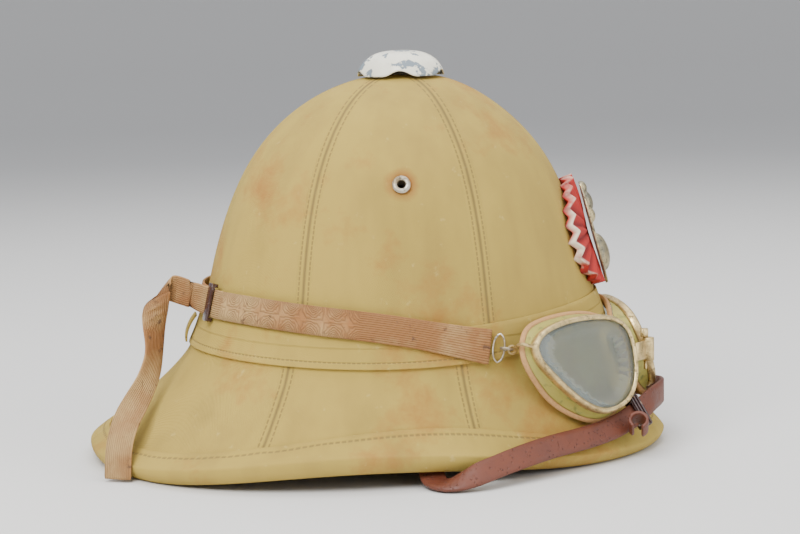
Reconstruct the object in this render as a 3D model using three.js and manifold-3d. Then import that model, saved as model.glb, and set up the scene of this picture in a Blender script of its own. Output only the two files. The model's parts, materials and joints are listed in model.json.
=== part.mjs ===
// A cloth-covered pith helmet with a pair of goggles strapped round it.
// Millimetres, +Z up, +X to the wearer's front, +Y to the wearer's left.
// The origin is under the middle of the brim, on the surface that the rim rests on.
import * as THREE from 'three';
import { mergeVertices } from 'three/addons/utils/BufferGeometryUtils.js';
import Module from 'manifold-3d';

const wasm = await Module();
wasm.setup();

// Driving dimensions of the helmet
const CLOTH = 1.2; // cloth cover, wall
const GAP = 0.3; // air between touching pieces
const WALL = 4.6; // moulded cork and pith wall
const ROUND = 36; // facets round the helmet
const VENT_ROW = 0.5; // row where the hole under the cap begins
const BAND_TOP = 8.15; // rows of the hat band
const BAND_JOIN = 8.575; // where the crown cloth and the brim cloth meet, under the band
const BAND_FOOT = 8.98;
const BINDING_TOP = 12; // how far the rim binding reaches in over the brim
const BINDING_UNDER = 7; // and under it
const RIM_ROW = 13;
const SETTLED = 0.84; // how far the soft binding is pressed flat where it rests

// Outline of the cloth-covered helmet, a row for each level from the cap to the rim.
// Columns: front x, back x, half width, taper towards the front, height at the front, at the
// side and at the back, and how far the quarters dip below those three.
const LEVELS = [
  [18, 18, 0, 0.04, 206.8, 206.8, 206.8, 0],
  [42, -6, 21, 0.04, 204, 204, 204, 0],
  [55, -22, 35, 0.04, 198.8, 198.8, 198.8, 0],
  [68, -37, 48, 0.04, 190.8, 190.8, 190.8, 0],
  [82.5, -52.5, 60.5, 0.05, 178.8, 178.8, 178.8, 0],
  [97.5, -67.5, 74, 0.05, 160.8, 160.8, 160.8, 0],
  [108.5, -79.5, 84, 0.06, 136.8, 136.8, 136.8, 0],
  [116, -88, 90, 0.06, 109.8, 109.8, 109.8, 0],
  [121.5, -94, 94, 0.06, 88.8, 80.8, 83.8, 0],
  [127, -102.5, 98.5, 0.07, 70, 57.3, 60.8, 0],
  [130.8, -112, 104, 0.09, 54, 45.8, 48.3, 1],
  [138, -129, 113.5, 0.12, 36, 31.8, 32.8, 2.5],
  [149, -147, 123, 0.14, 18.5, 20.8, 18.3, 4.5],
  [159.1, -159.2, 130, 0.15, 7, 18.6, 9.6, 5.5],
];
const ROWS = [
  VENT_ROW, 1, 2, 3, 4, 5, 6, 7, 7.6, BAND_TOP, BAND_JOIN,
  9, 9.5, 10.25, 11, 11.5, 12, 12.5, RIM_ROW,
];

// Goggles. A lens outline in its own plane, a row for each point.
// Columns: towards the nose, up.
const LENS_OUTLINE = [
  [-36, 15], [-28, 22], [-4, 26], [27, 23.5], [38, 16], [40, 2],
  [35.5, -14], [25, -23.5], [7, -26.5], [-10, -19], [-28, -2], [-35, 7],
];
const LENS_POINTS = 30; // facets round a lens
// Columns: side name, centre, yaw of the way it faces from +X (degrees, left positive), tilt up.
const EYES = [
  { side: 'right', hand: -1, centre: [113, -74, 53], yaw: -45, tilt: 15 },
  { side: 'left', hand: 1, centre: [141.2, 20.5, 52.5], yaw: 12, tilt: 20 },
];
const RIM_WIDTH = 2.6; // metal lens rim, in the lens plane
const RIM_DEPTH = 3.2;
const LENS_THICK = 1.8;
const CUP_WALL = 1.4;
const CUP_DEPTH = 11; // from the lens to the back of the cup, where the helmet leaves room
const CUP_FLARE = 2.2; // how far the cup spreads on its way to the helmet
const CUSHION = 3.6; // roll between the cup and the helmet

// Straps
const ELASTIC_WIDTH = 15;
const ELASTIC_THICK = 1.4;
const ELASTIC_OFFSET = 3.1; // middle of the elastic above the cloth
const LEATHER_WIDTH = 13;
const LEATHER_THICK = 2;

const vec = (x, y, z) => new THREE.Vector3(x, y, z);
const rad = THREE.MathUtils.degToRad;

// ---------------------------------------------------------------- the helmet's surface

function level(row) {
  const last = LEVELS.length - 1;
  const at = Math.min(Math.floor(row), last - 1);
  const u = row - at;
  const pick = (i) => {
    if (i < 0) return LEVELS[0].map((v, k) => 2 * v - LEVELS[1][k]);
    if (i > last) return LEVELS[last].map((v, k) => 2 * v - LEVELS[last - 1][k]);
    return LEVELS[i];
  };
  const [a, b, c, d] = [at - 1, at, at + 1, at + 2].map(pick);
  return b.map((_, k) => 0.5 * (2 * b[k] + (c[k] - a[k]) * u
    + (2 * a[k] - 5 * b[k] + 4 * c[k] - d[k]) * u * u
    + (3 * b[k] - a[k] - 3 * c[k] + d[k]) * u * u * u));
}

// A point of the cloth surface: row from the cap (0) to the rim (13), turn in radians from the
// front towards the wearer's left.
function surface(row, turn) {
  const [front, back, half, taper, zFront, zSide, zBack, dip] = level(row);
  const c = Math.cos(turn);
  const s = Math.sin(turn);
  const end = zFront * (1 + c) / 2 + zBack * (1 - c) / 2;
  return vec(
    (front + back) / 2 + (front - back) / 2 * c,
    half * s * (1 - taper * c),
    zSide * s * s + end * c * c - dip * Math.sin(2 * turn) ** 2 - SETTLED,
  );
}

const STEP = 0.01;
const downAt = (row, turn) => surface(row + STEP, turn).sub(surface(row - STEP, turn));
const roundAt = (row, turn) => surface(row, turn + STEP).sub(surface(row, turn - STEP));
const outAt = (row, turn) => downAt(row, turn).cross(roundAt(row, turn)).normalize();
const skin = (row, turn, offset) => surface(row, turn).addScaledVector(outAt(row, turn), offset);

// A place on the surface, reached from another by millimetres across (to the left) and down.
function stepOn(row, turn, across, down, offset) {
  const perRow = downAt(row, turn).length() / (2 * STEP);
  const perTurn = roundAt(row, turn).length() / (2 * STEP);
  return skin(row + down / perRow, turn + across / perTurn, offset);
}

// How far a point stands off the surface, from the nearest of a net of places on it.
const NET = [];
for (let row = 5; row <= RIM_ROW; row += 0.125) {
  for (let turn = -180; turn < 180; turn += 4) {
    NET.push([surface(row, rad(turn)), outAt(row, rad(turn))]);
  }
}
function height(point) {
  let best = NET[0];
  for (const place of NET) {
    if (place[0].distanceToSquared(point) < best[0].distanceToSquared(point)) best = place;
  }
  return point.clone().sub(best[0]).dot(best[1]);
}

// ---------------------------------------------------------------- ways of making solids

function solidFrom(points, faces) {
  const geometry = new THREE.BufferGeometry();
  geometry.setAttribute('position', new THREE.Float32BufferAttribute(points.flatMap((p) => p.toArray()), 3));
  geometry.setIndex(faces.flat());
  const merged = mergeVertices(geometry, 1e-3);
  const index = merged.index.array;
  const at = merged.attributes.position;
  const kept = [];
  let volume = 0;
  const corner = [vec(0, 0, 0), vec(0, 0, 0), vec(0, 0, 0)];
  for (let i = 0; i < index.length; i += 3) {
    const [a, b, c] = [index[i], index[i + 1], index[i + 2]];
    if (a === b || b === c || c === a) continue;
    kept.push(a, b, c);
    [a, b, c].forEach((n, k) => corner[k].fromBufferAttribute(at, n));
    volume += corner[0].dot(corner[1].clone().cross(corner[2]));
  }
  if (volume < 0) {
    for (let i = 0; i < kept.length; i += 3) [kept[i + 1], kept[i + 2]] = [kept[i + 2], kept[i + 1]];
  }
  merged.setIndex(kept);
  return merged;
}

// A skin through sections of equally many points. A ring closes on its first section, and a bar
// is closed by a fan over each end. Points from "mirrored" on run back along the first ones, and
// their facets are split the other way, so that nested layers have their facets split alike.
function loft(sections, ring, mirrored = Infinity) {
  const count = sections[0].length;
  const faces = [];
  const spans = ring ? sections.length : sections.length - 1;
  for (let i = 0; i < spans; i += 1) {
    const here = i * count;
    const next = ((i + 1) % sections.length) * count;
    for (let k = 0; k < count; k += 1) {
      const side = (k + 1) % count;
      if (k < mirrored) faces.push([here + k, next + k, next + side], [here + k, next + side, here + side]);
      else faces.push([here + k, next + k, here + side], [next + k, next + side, here + side]);
    }
  }
  if (!ring) {
    const end = (sections.length - 1) * count;
    for (let k = 1; k < count - 1; k += 1) {
      faces.push([0, k, k + 1], [end, end + k + 1, end + k]);
    }
  }
  return solidFrom(sections.flat(), faces);
}

// A solid turned all the way round the helmet. The section is a list of [row, offset].
function wrap(section, mirrored) {
  const rings = [];
  for (let i = 0; i < ROUND; i += 1) {
    const turn = 2 * Math.PI * i / ROUND;
    rings.push(section.map(([row, offset]) => skin(row, turn, offset)));
  }
  return loft(rings, true, mirrored);
}

// A cloth or cork layer between two rows, from one offset down to another.
function layer(from, to, outer, inner) {
  const rows = [from, ...ROWS.filter((row) => row > from + 0.03 && row < to - 0.03), to];
  const section = [...rows.map((row) => [row, outer]), ...rows.reverse().map((row) => [row, inner])];
  return wrap(section, rows.length);
}

// A flat strap. Stations are { at, side, half }: its middle, the way its width runs, half of it.
function ribbon(stations, thick) {
  const sections = stations.map(({ at, side, half }, i) => {
    const before = stations[Math.max(i - 1, 0)].at;
    const after = stations[Math.min(i + 1, stations.length - 1)].at;
    const face = after.clone().sub(before).cross(side).normalize().multiplyScalar(thick / 2);
    const wide = side.clone().normalize().multiplyScalar(half);
    return [
      at.clone().add(wide).add(face), at.clone().sub(wide).add(face),
      at.clone().sub(wide).sub(face), at.clone().add(wide).sub(face),
    ];
  });
  return loft(sections, false);
}

// Stations of a strap through hand-placed rows of [x, y, z, side x, side y, side z].
function stationsThrough(rows, width, count) {
  const path = new THREE.CatmullRomCurve3(rows.map((r) => vec(r[0], r[1], r[2])), false, 'centripetal');
  const sides = new THREE.CatmullRomCurve3(rows.map((r) => vec(r[3], r[4], r[5])), false, 'centripetal');
  const list = [];
  for (let i = 0; i <= count; i += 1) {
    list.push({ at: path.getPoint(i / count), side: sides.getPoint(i / count), half: width / 2 });
  }
  return list;
}

function tube(points, radius, sides, closed, steps) {
  const outline = new THREE.Shape();
  for (let i = 0; i < sides; i += 1) {
    const a = 2 * Math.PI * i / sides;
    if (i === 0) outline.moveTo(radius, 0);
    else outline.lineTo(radius * Math.cos(a), radius * Math.sin(a));
  }
  const path = new THREE.CatmullRomCurve3(points, closed);
  const geometry = new THREE.ExtrudeGeometry(outline, { steps, extrudePath: path, bevelEnabled: false });
  return cleaned(geometry);
}

function cleaned(geometry) {
  const flat = geometry.index ? geometry.toNonIndexed() : geometry;
  const points = [];
  for (let i = 0; i < flat.attributes.position.count; i += 1) {
    points.push(vec(0, 0, 0).fromBufferAttribute(flat.attributes.position, i));
  }
  const faces = [];
  for (let i = 0; i < points.length; i += 3) faces.push([i, i + 1, i + 2]);
  return solidFrom(points, faces);
}

// Puts a geometry whose own +Z is its axis at a place, with that axis along a direction.
function aimed(geometry, at, axis) {
  const turn = new THREE.Quaternion().setFromUnitVectors(vec(0, 0, 1), axis.clone().normalize());
  return geometry.applyQuaternion(turn).translate(at.x, at.y, at.z);
}

function manifold(geometry) {
  return new wasm.Manifold(new wasm.Mesh({
    numProp: 3,
    vertProperties: new Float32Array(geometry.attributes.position.array),
    triVerts: new Uint32Array(geometry.index.array),
  }));
}

function geometryOf(solid) {
  const mesh = solid.getMesh();
  const geometry = new THREE.BufferGeometry();
  geometry.setAttribute('position', new THREE.Float32BufferAttribute(mesh.vertProperties, 3));
  geometry.setIndex(Array.from(mesh.triVerts));
  return geometry;
}

const joined = (list) => geometryOf(list.map(manifold).reduce((a, b) => a.add(b)));
const cutBy = (geometry, tools) => geometryOf(
  tools.reduce((left, tool) => left.subtract(manifold(tool)), manifold(geometry)),
);

// A solid of revolution about +Z. The profile is a closed list of [radius, height].
function turned(profile, segments) {
  const points = [...profile, profile[0]].map(([r, z]) => new THREE.Vector2(r, z));
  return cleaned(new THREE.LatheGeometry(points, segments).rotateX(Math.PI / 2));
}

// ---------------------------------------------------------------- materials and the group

const finish = (color, roughness, metalness = 0) => (
  new THREE.MeshStandardMaterial({ color, roughness, metalness })
);
const COVER_CLOTH = finish(0xcdb25f, 0.9);
const CORK = finish(0xb08d5c, 0.95);
const PAINTED = finish(0xe8e2cf, 0.5);
const NICKEL = finish(0xa89c80, 0.35, 1);
const TARNISH = finish(0x77705a, 0.5, 1);
const RIBBON_RED = finish(0xb02420, 0.7);
const RUBBER = finish(0x9a9a52, 0.7);
const FELT = finish(0xc28a4c, 0.9);
const TINTED = finish(0x7f9aaa, 0.05);
const ELASTIC = finish(0xb88a4e, 0.85);
const LEATHER = finish(0xa4502a, 0.6);

const group = new THREE.Group();
function add(name, geometry, material) {
  const mesh = new THREE.Mesh(geometry, material.clone());
  mesh.name = name;
  group.add(mesh);
}

// ---------------------------------------------------------------- shell, cloth, band and rim

const EYELET_ROW = 5.43;
const EYELET_TURN = rad(87.5);
const EYELET_BARREL = 3.4;
const eyelets = [['right', -1], ['left', 1]].map(([side, hand]) => ({
  side,
  at: skin(EYELET_ROW, hand * EYELET_TURN, 0),
  axis: outAt(EYELET_ROW, hand * EYELET_TURN),
}));
const boreTools = () => eyelets.map(({ at, axis }) => aimed(
  cleaned(new THREE.CylinderGeometry(EYELET_BARREL + GAP, EYELET_BARREL + GAP, 30, 14).rotateX(Math.PI / 2)),
  at, axis,
));

const coreTop = -(CLOTH + GAP);
add('helmet_body', cutBy(layer(VENT_ROW, RIM_ROW - 0.03, coreTop, coreTop - WALL), boreTools()), CORK);
add('crown_cover', cutBy(layer(VENT_ROW, BAND_JOIN - 0.02, 0, -CLOTH), boreTools()), COVER_CLOTH);
add('brim_cover', layer(BAND_JOIN + 0.02, RIM_ROW, 0, -CLOTH), COVER_CLOTH);

function hatBand() {
  const inner = GAP;
  return wrap([
    [BAND_TOP, 1.5], [BAND_JOIN, 1.6], [BAND_FOOT - 0.1, 2], [BAND_FOOT, 1.9],
    [BAND_FOOT, inner], [BAND_JOIN, inner], [BAND_TOP, inner],
  ], 4);
}
add('puggaree', hatBand(), COVER_CLOTH);

// The binding is a strip folded round the edge, thicker than the brim, pressed flat below.
function rimBinding() {
  const under = coreTop - WALL;
  const rings = [];
  for (let i = 0; i < ROUND; i += 1) {
    const turn = 2 * Math.PI * i / ROUND;
    const out = outAt(RIM_ROW, turn);
    const away = downAt(RIM_ROW, turn).normalize();
    const tip = (reach, offset) => surface(RIM_ROW, turn)
      .addScaledVector(away, reach).addScaledVector(out, offset);
    const perRow = downAt(12.5, turn).length() / (2 * STEP);
    const inFrom = (reach, offset) => skin(RIM_ROW - reach / perRow, turn, offset);
    rings.push([
      inFrom(BINDING_TOP, GAP), inFrom(BINDING_TOP, GAP + CLOTH), inFrom(BINDING_TOP / 3, 1.8),
      tip(0.4, 1.4), tip(1.9, -1), tip(1.9, under + 1), tip(0.6, under - 2.2), tip(-1.8, under - 2.2),
      inFrom(BINDING_UNDER, under - 3 * GAP - CLOTH), inFrom(BINDING_UNDER, under - 3 * GAP),
      inFrom(BINDING_UNDER / 2, under - 3 * GAP), tip(GAP, under - 3 * GAP),
      tip(GAP, GAP), inFrom(BINDING_TOP / 3, GAP),
    ]);
  }
  return rings;
}
const PRESSED = 0.9;
const bindingRings = rimBinding();
bindingRings.flat().forEach((p) => { p.z = Math.max(p.z, 0); });
// The lowest stretches are pressed flat where the hat rests.
bindingRings.filter((ring) => ring[6].z < PRESSED).forEach((ring) => {
  ring[6].z = 0;
  ring[7].z = 0;
});
add('rim_binding', loft(bindingRings, true, 12), COVER_CLOTH);

// The raised end of the band at the back.
// Columns: row, offset of its middle from the cloth.
const TAB = [[8.28, 2.9], [8.42, 4.3], [8.6, 5], [8.8, 4.6], [8.96, 3.1]];
const TAB_TURN = rad(-172);
add('rear_tab', ribbon(TAB.map(([row, offset]) => ({
  at: skin(row, TAB_TURN, offset), side: roundAt(row, TAB_TURN), half: 6,
})), CLOTH), COVER_CLOTH);

// ---------------------------------------------------------------- ventilators

const CAP_RADIUS = 24;
const CAP_HEIGHT = 14;
const CAP_FOOT = 204;
const CAP_LOBES = 5;
const CAP_ARCH = 3.4; // how high the scallops rise between the lobes
const CAP_SEGMENTS = 40;
const CROWN_MIDDLE = 18;

// The ventilator cap: a dome with a scalloped edge whose arches let the air out.
function ventCap() {
  const profile = [[0, 1], [0.3, 0.985], [0.55, 0.9], [0.78, 0.66], [0.93, 0.34], [1, 0]];
  const wall = 1;
  const rings = [];
  for (let i = 0; i < CAP_SEGMENTS; i += 1) {
    const a = 2 * Math.PI * i / CAP_SEGMENTS - Math.PI / 2;
    const arch = CAP_ARCH * Math.max(0, Math.cos(CAP_LOBES * (a + Math.PI / 2)));
    const at = (r, z) => vec(CROWN_MIDDLE + r * Math.cos(a), r * Math.sin(a), CAP_FOOT + z);
    const rise = (h) => arch + h * (CAP_HEIGHT - arch);
    const outer = profile.map(([r, h]) => at(r * CAP_RADIUS, rise(h)));
    const inner = profile.map(([r, h]) => at(r * (CAP_RADIUS - wall), rise(h) - wall * (1 - r)));
    rings.push([...outer, ...inner.reverse()]);
  }
  return loft(rings, true);
}
add('vent_cap', ventCap(), PAINTED);

// Hidden under the cap: a plain spool through the hole in the crown.
const HOLE = surface(VENT_ROW, Math.PI / 2).y * 0.94 - GAP;
add('vent_collar', turned([
  [6, 197], [HOLE - 1.4, 197], [HOLE - 1.4, 206], [HOLE + 1, 206.9], [HOLE + 1, 208.2], [6, 208.2],
], 24).translate(CROWN_MIDDLE, 0, 0), NICKEL);

for (const { side, at, axis } of eyelets) {
  const ring = turned([
    [2.3, 0.9], [3, 1.3], [4.1, 1.3], [4.9, 0.5], [4.9, 0.4],
    [EYELET_BARREL, 0.4], [EYELET_BARREL, -7], [2.3, -7],
  ], 18);
  add(`side_vent_${side}`, aimed(ring, at, axis), NICKEL);
}

// ---------------------------------------------------------------- cockade and badge

const FRONT_ROW = 6.85;
const COCKADE_RADIUS = 33;
const COCKADE_THICK = 5;
function cockade() {
  const spokes = 28;
  const rings = [];
  for (let i = 0; i < spokes; i += 1) {
    const a = 2 * Math.PI * i / spokes;
    const at = (r, offset) => stepOn(FRONT_ROW, 0, r * Math.cos(a), r * Math.sin(a), offset);
    rings.push([
      at(0, COCKADE_THICK), at(COCKADE_RADIUS * 0.6, COCKADE_THICK), at(COCKADE_RADIUS, COCKADE_THICK),
      at(COCKADE_RADIUS, 0.6), at(COCKADE_RADIUS * 0.6, 0.6), at(0, 0.6),
    ]);
  }
  return loft(rings, true);
}
add('cockade', cockade(), RIBBON_RED);

// One soldered piece: a back plate, a round domed boss and a knobbed finial.
function badge() {
  const out = outAt(FRONT_ROW, 0);
  const up = vec(0, 1, 0).cross(out).negate();
  const middle = skin(FRONT_ROW, 0, COCKADE_THICK + 2.6);
  const place = new THREE.Matrix4().makeBasis(vec(0, 1, 0), up, out).setPosition(middle);
  const oval = (width, tall, deep, x, y, z) => cleaned(new THREE.SphereGeometry(0.5, 16, 8))
    .scale(width, tall, deep).translate(x, y, z);
  const plate = cleaned(new THREE.CylinderGeometry(0.5, 0.5, 1.4, 20).rotateX(Math.PI / 2)).scale(24, 58, 1);
  const parts = [
    plate,
    oval(22, 22, 11, 0, -11, 0.4),
    oval(13, 13, 8, 0, 18, 0.4),
    oval(9, 9, 6.5, -6, 11, 0.3),
    oval(9, 9, 6.5, 6, 11, 0.3),
    oval(8, 8, 6, 0, 26, 0.2),
  ];
  const behind = cleaned(new THREE.BoxGeometry(80, 80, 20)).translate(0, 0, -10.7);
  return cutBy(joined(parts), [behind]).applyMatrix4(place);
}
add('badge', badge(), TARNISH);

// ---------------------------------------------------------------- goggles

function lensPoint(k, grow) {
  const outline = new THREE.CatmullRomCurve3(LENS_OUTLINE.map(([x, y]) => vec(x, y, 0)), true, 'centripetal');
  const u = k / LENS_POINTS;
  const p = outline.getPoint(u);
  const along = outline.getTangent(u);
  return p.add(vec(along.y, -along.x, 0).multiplyScalar(-grow));
}

function goggle({ side, hand, centre, yaw, tilt }) {
  const level = Math.cos(rad(tilt));
  const face = vec(Math.cos(rad(yaw)) * level, Math.sin(rad(yaw)) * level, Math.sin(rad(tilt)));
  const nose = vec(Math.sin(rad(yaw)), -Math.cos(rad(yaw)), 0).multiplyScalar(hand);
  const up = nose.clone().cross(face).multiplyScalar(hand);
  if (up.z < 0) up.negate();
  const at = (p, forward) => vec(...centre).addScaledVector(nose, p.x).addScaledVector(up, p.y)
    .addScaledVector(face, forward);
  // Where a point of the outline, moved back from the lens, comes within a clearance of the cloth.
  const reach = (k, grow, clearance) => {
    let back = RIM_DEPTH + 1;
    const depth = CUP_DEPTH + 0.38 * Math.min(0, lensPoint(k, 0).x + 20);
    while (back < depth && height(at(lensPoint(k, grow), -back)) > clearance) back += 0.4;
    return back;
  };
  const rimRings = [];
  const lensFront = [];
  const lensBack = [];
  const cupRings = [];
  const cushionRings = [];
  for (let k = 0; k < LENS_POINTS; k += 1) {
    const q = (grow, forward) => at(lensPoint(k, grow), forward);
    rimRings.push([
      q(-RIM_WIDTH, 0.8), q(-1.2, 1.6), q(0, 0.9), q(0.4, -1), q(0, -RIM_DEPTH), q(-RIM_WIDTH, -RIM_DEPTH),
      q(-RIM_WIDTH, -1.6), q(-1.3, -1.5), q(-1.3, 0), q(-RIM_WIDTH, 0.2),
    ]);
    lensFront.push(q(-1.3 - GAP, -0.2));
    lensBack.push(q(-1.3 - GAP, -1.3));
    const foot = reach(k, CUP_FLARE, 2.6 + CUSHION);
    const front = RIM_DEPTH + GAP;
    const middle = (front + foot) / 2;
    cupRings.push([
      q(-0.4, -front), q(0.3, -middle), q(CUP_FLARE, -foot),
      q(CUP_FLARE - CUP_WALL, -foot), q(0.3 - CUP_WALL, -middle), q(-0.4 - CUP_WALL, -front),
    ]);
    const near = foot + GAP;
    const far = near + CUSHION - 0.6;
    cushionRings.push([
      q(CUP_FLARE + 0.8, -near), q(CUP_FLARE + 2, -(near + far) / 2), q(CUP_FLARE + 1, -far),
      q(CUP_FLARE - 2.4, -far), q(CUP_FLARE - 3.2, -(near + far) / 2), q(CUP_FLARE - 2.2, -near),
    ]);
  }
  const lensRings = lensFront.map((p, k) => [at(vec(2, 0, 0), 0.5), p, lensBack[k], at(vec(2, 0, 0), -1.3)]);
  const tip = at(vec(...LENS_OUTLINE[0], 0), -RIM_DEPTH / 2);
  add(`goggle_lens_${side}`, loft(lensRings, true), TINTED);
  add(`goggle_cup_${side}`, loft(cupRings, true), RUBBER);
  add(`goggle_cushion_${side}`, loft(cushionRings, true), FELT);
  return { rim: loft(rimRings, true), tip, nose, up, face, at };
}

const eyes = EYES.map(goggle);

// The bridge: a bent strip from rim to rim, with a coiled barrel and a square knuckle on it.
const BRIDGE_GAP = 0.5;
function bridge() {
  const near = eyes[0].at(vec(40, 2, 0), -1).addScaledVector(eyes[0].nose, 0.4 + BRIDGE_GAP);
  const far = eyes[1].at(vec(40, 2, 0), -1).addScaledVector(eyes[1].nose, 0.4 + BRIDGE_GAP);
  const middle = near.clone().lerp(far, 0.5).add(vec(3.2, 0, 0));
  const strip = ribbon([near, near.clone().lerp(middle, 0.6).add(vec(0.8, 0, 0)), middle,
    far.clone().lerp(middle, 0.6).add(vec(0.8, 0, 0)), far].map((at) => ({ at, side: vec(0, 0, 1), half: 5 })), 1.4);
  const barrel = cleaned(new THREE.CylinderGeometry(3.2, 3.2, 13, 12).rotateX(Math.PI / 2))
    .translate(middle.x + 1.2, middle.y, middle.z);
  const knuckle = cleaned(new THREE.BoxGeometry(4, 5, 4.4)).translate(middle.x - 1, middle.y, middle.z + 9);
  const pin = cleaned(new THREE.CylinderGeometry(1, 1, 22, 8).rotateX(Math.PI / 2))
    .translate(middle.x - 0.6, middle.y, middle.z);
  return joined([strip, barrel, knuckle, pin]);
}
add('goggle_bridge', bridge(), NICKEL);

// ---------------------------------------------------------------- goggle strap

// Where the elastic lies. Columns: turn (degrees), row of its middle.
const NEAR_ELASTIC = [
  [-64.5, 8.64], [-70, 8.5], [-80, 8.28], [-90, 8.12], [-100, 8.02],
  [-112, 7.95], [-124, 7.9], [-137, 7.87], [-150, 7.88], [-157, 7.87],
];
const FAR_ELASTIC = [
  [52, 8.62], [66, 8.45], [80, 8.3], [96, 8.15], [112, 8.02],
  [130, 7.94], [150, 7.9], [170, 7.88], [190, 7.86], [200, 7.86],
];
const SLIDER_TURN = -154.5;
const SLIDER_ROW = 7.87;

// Stations of the elastic between its hand-placed turns, wider where it is sewn to its loop.
function elasticStations(places, every, sewn) {
  const list = [];
  const path = new THREE.CatmullRomCurve3(places.map(([turn, row]) => vec(turn, row, 0)), false, 'centripetal');
  const count = Math.ceil(Math.abs(places.at(-1)[0] - places[0][0]) / every);
  for (let i = 0; i <= count; i += 1) {
    const p = path.getPoint(i / count);
    const turn = rad(p.x);
    const along = path.getTangent(i / count);
    const run = roundAt(p.y, turn).multiplyScalar(rad(along.x)).addScaledVector(downAt(p.y, turn), along.y);
    const wide = outAt(p.y, turn).cross(run).normalize();
    const half = ELASTIC_WIDTH / 2 + sewn * Math.max(0, 1 - i / count * 4);
    list.push({ at: skin(p.y, turn, ELASTIC_OFFSET), side: wide, half });
  }
  return list;
}

// The free end after the slider: it stands off, folds over and hangs down to the ground.
// Columns: place x, y, z, and the way the width runs x, y, z.
const TAIL = [
  [-96, -35.5, 89.5, 0.05, 0, 1],
  [-103, -33.5, 92, 0.15, 0, 1],
  [-110.5, -32.5, 93.5, 0.35, -0.25, 0.9],
  [-115.5, -36, 88, 0.9, -0.2, 0.35],
  [-117.5, -38.5, 76, 0.75, 0.65, 0.1],
  [-117.5, -42, 62, 0.5, 0.86, 0],
  [-120, -48.5, 49, 0.7, 0.7, -0.1],
  [-125, -60, 38, 0.92, 0.35, -0.2],
  [-129.5, -75, 28, 0.97, -0.2, -0.1],
  [-131.5, -87, 17, 0.95, -0.3, 0],
  [-132, -92, 1.6, 0.96, -0.28, 0],
];
const near = elasticStations(NEAR_ELASTIC, 6, 1.8);
const tail = stationsThrough(TAIL, ELASTIC_WIDTH, 28);
const nearSide = near.at(-1).side;
tail.forEach((s) => { if (s.side.dot(nearSide) < 0 && s.at.z > 90) s.side.negate(); });
near.forEach((s) => { if (s.side.z < 0) s.side.negate(); });
add('goggle_strap_right', ribbon([...near, ...tail], ELASTIC_THICK), ELASTIC);

const far = elasticStations(FAR_ELASTIC, 6, 1.8);
far.forEach((s) => { if (s.side.z < 0) s.side.negate(); });
add('goggle_strap_left', ribbon(far, ELASTIC_THICK), ELASTIC);

// The slider: a flat frame that the elastic runs through, standing across it.
function slider() {
  const turn = rad(SLIDER_TURN);
  const out = outAt(SLIDER_ROW, turn);
  const across = roundAt(SLIDER_ROW, turn).normalize();
  const tall = out.clone().cross(across).normalize();
  const place = new THREE.Matrix4().makeBasis(across, tall, out).setPosition(skin(SLIDER_ROW, turn, ELASTIC_OFFSET));
  const bar = (x, y, z, w, h, d) => cleaned(new THREE.BoxGeometry(w, h, d)).translate(x, y, z);
  const inside = ELASTIC_THICK / 2 + 0.5;
  const tallHalf = ELASTIC_WIDTH / 2 + 0.8;
  return joined([
    bar(0, 0, inside + 0.8, 5, 2 * tallHalf + 4, 1.6),
    bar(0, tallHalf + 1, inside - 0.6, 5, 2, 3),
    bar(0, -tallHalf - 1, inside - 0.6, 5, 2, 3),
  ]).applyMatrix4(place);
}
add('strap_slider', slider(), TARNISH);

// Wire loops at the sewn ends of the elastic, and the rings that link them to the frames. Each
// frame has an ear at its temple end: an arm back past the cup, with an eye round the ring.
const WIRE = 0.8; // radius of the wire in the rings and loops
const LOOP_TALL = 15;
const LOOP_WIRE = 0.55;
const LOOP_REACH = 5;
const LOOP_RISE = 3.2; // how far the tip of the loop stands off
const RING_RADIUS = 3;
const EYE_RADIUS = 2;
function wireLoop(station, ahead, nib) {
  const tall = station.side.clone().normalize();
  const middle = station.at.clone().addScaledVector(ahead, 1.6);
  const points = [0, 1, 2, 3, 4, 5, 6, 7].map((k) => middle.clone()
    .lerp(nib, 0.5 + 0.5 * Math.cos(k * Math.PI / 4))
    .addScaledVector(tall, LOOP_TALL / 2 * Math.sin(k * Math.PI / 4)));
  return tube(points, LOOP_WIRE, 6, true, 24);
}
[[near, 0], [far, 1]].forEach(([strap, i]) => {
  const { side } = EYES[i];
  const ahead = strap[0].at.clone().sub(strap[1].at).normalize();
  const tall = strap[0].side.clone().normalize();
  const out = ahead.clone().cross(tall).normalize();
  if (out.dot(vec(strap[0].at.x, strap[0].at.y, 0)) < 0) out.negate();
  const nib = strap[0].at.clone().addScaledVector(ahead, 1.6 + LOOP_REACH).addScaledVector(out, LOOP_RISE);
  const ringAt = nib.clone().addScaledVector(ahead, 1.2);
  const eyeAt = ringAt.clone().addScaledVector(ahead, RING_RADIUS);
  const hoop = (at, radius, a, b, steps) => cleaned(new THREE.TorusGeometry(radius, WIRE, 6, steps))
    .applyMatrix4(new THREE.Matrix4().makeBasis(a, b, a.clone().cross(b)).setPosition(at));
  add(`strap_loop_${side}`, wireLoop(strap[0], ahead, nib), NICKEL);
  add(`strap_ring_${side}`, hoop(ringAt, RING_RADIUS, ahead, out, 16), NICKEL);
  const { at, rim } = eyes[i];
  const arm = tube([
    at(lensPoint(0, -1.2), -1.6), at(lensPoint(0, 2), -1.8), at(lensPoint(0, 7.2), -3.2),
    eyeAt.clone().addScaledVector(ahead, EYE_RADIUS),
  ], 1, 6, false, 6);
  add(`goggle_frame_${side}`, joined([rim, arm, hoop(eyeAt, EYE_RADIUS, ahead, tall, 12)]), NICKEL);
});

// ---------------------------------------------------------------- chin strap

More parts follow.
